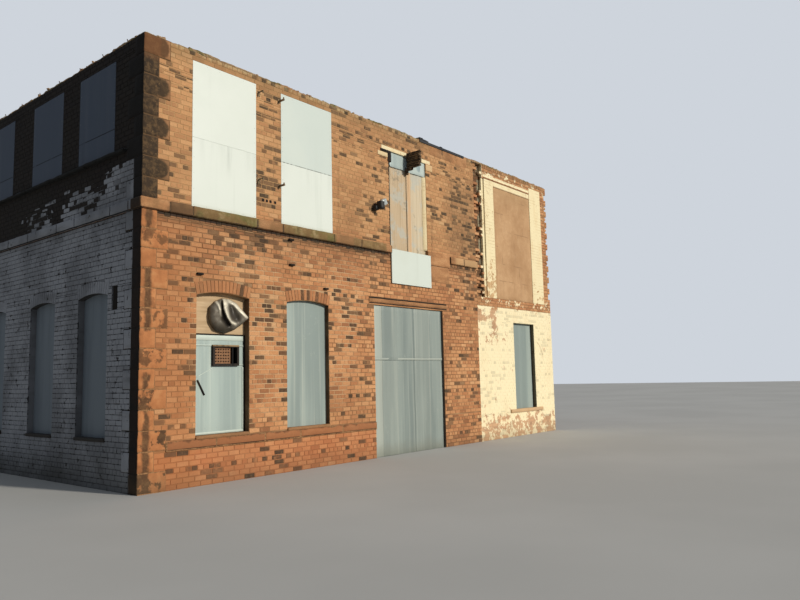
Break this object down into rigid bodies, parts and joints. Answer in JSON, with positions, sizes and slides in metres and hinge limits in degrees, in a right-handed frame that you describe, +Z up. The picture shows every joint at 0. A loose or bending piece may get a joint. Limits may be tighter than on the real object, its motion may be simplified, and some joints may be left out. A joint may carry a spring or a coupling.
{
  "type": "factory building",
  "caption": "Disused two-storey brick factory block at a street corner, with boarded windows, a sheeted yard door, an upper loading door with a hoist beam, and a painted bay.",
  "frame": {"origin": "on the ground, under the middle of the block's walls, in the underside of the ground floor", "axes": "+X along the long front towards the party wall, to the right seen from the street; -Y out of the front; +Z up"},
  "size_m": [14.385, 10.02, 7.8793],
  "materials": {
    "red_brick": "rough",
    "sandstone": "rough",
    "cream_paint": "flaking paint on masonry",
    "brown_render": "rough",
    "concrete": "rough",
    "steel_sheet": "dull galvanised",
    "white_board": "painted, streaked",
    "plywood": "weathered",
    "old_timber": "rotten",
    "grey_boards": "weathered",
    "roofing_felt": "matt",
    "rusty_iron": "rusty",
    "cowl_metal": "crumpled, sooty",
    "lamp_shell": "matt"
  },
  "bodies": {
    "root": {"front_wall_lower": "red_brick", "front_wall_upper": "red_brick", "left_wall_lower": "red_brick", "left_wall_upper": "red_brick", "back_wall_lower": "red_brick", "back_wall_upper": "red_brick", "party_wall": "red_brick", "bay_brick_band": "red_brick", "bay_wall_upper": "red_brick", "window_arches": "red_brick", "corner_quoins": "sandstone", "plinth_course": "sandstone", "window_sills": "sandstone", "string_course_front": "sandstone", "string_course_left": "sandstone", "string_course_back": "sandstone", "loading_door_stones": "sandstone", "left_sill_ledge": "sandstone", "bay_wall_lower": "cream_paint", "bay_pilasters": "cream_paint", "bay_beam": "cream_paint", "loading_door_lintel": "cream_paint", "bay_panel": "brown_render", "ground_floor": "concrete", "yard_door_lintel": "concrete", "bay_window_sheet": "steel_sheet", "left_window_boards": "steel_sheet", "back_window_boards": "steel_sheet", "window_1_sheet": "steel_sheet", "window_2_sheet": "steel_sheet", "yard_door_sheets": "steel_sheet", "loading_door_head_sheet": "steel_sheet", "front_upper_boards": "white_board", "loading_door_foot_board": "white_board", "window_1_ply": "plywood", "hoist_beam": "old_timber", "first_floor": "old_timber", "roof_deck": "old_timber", "loading_door_boards": "grey_boards", "roof_felt": "roofing_felt", "wall_head_flashing": "roofing_felt", "shutter_irons": "rusty_iron", "wall_spikes": "rusty_iron", "vent_frame": "rusty_iron", "vent_grille": "rusty_iron", "lamp_bracket": "rusty_iron", "window_1_cowl": "cowl_metal", "lamp_head": "lamp_shell"}
  },
  "joints": []
}
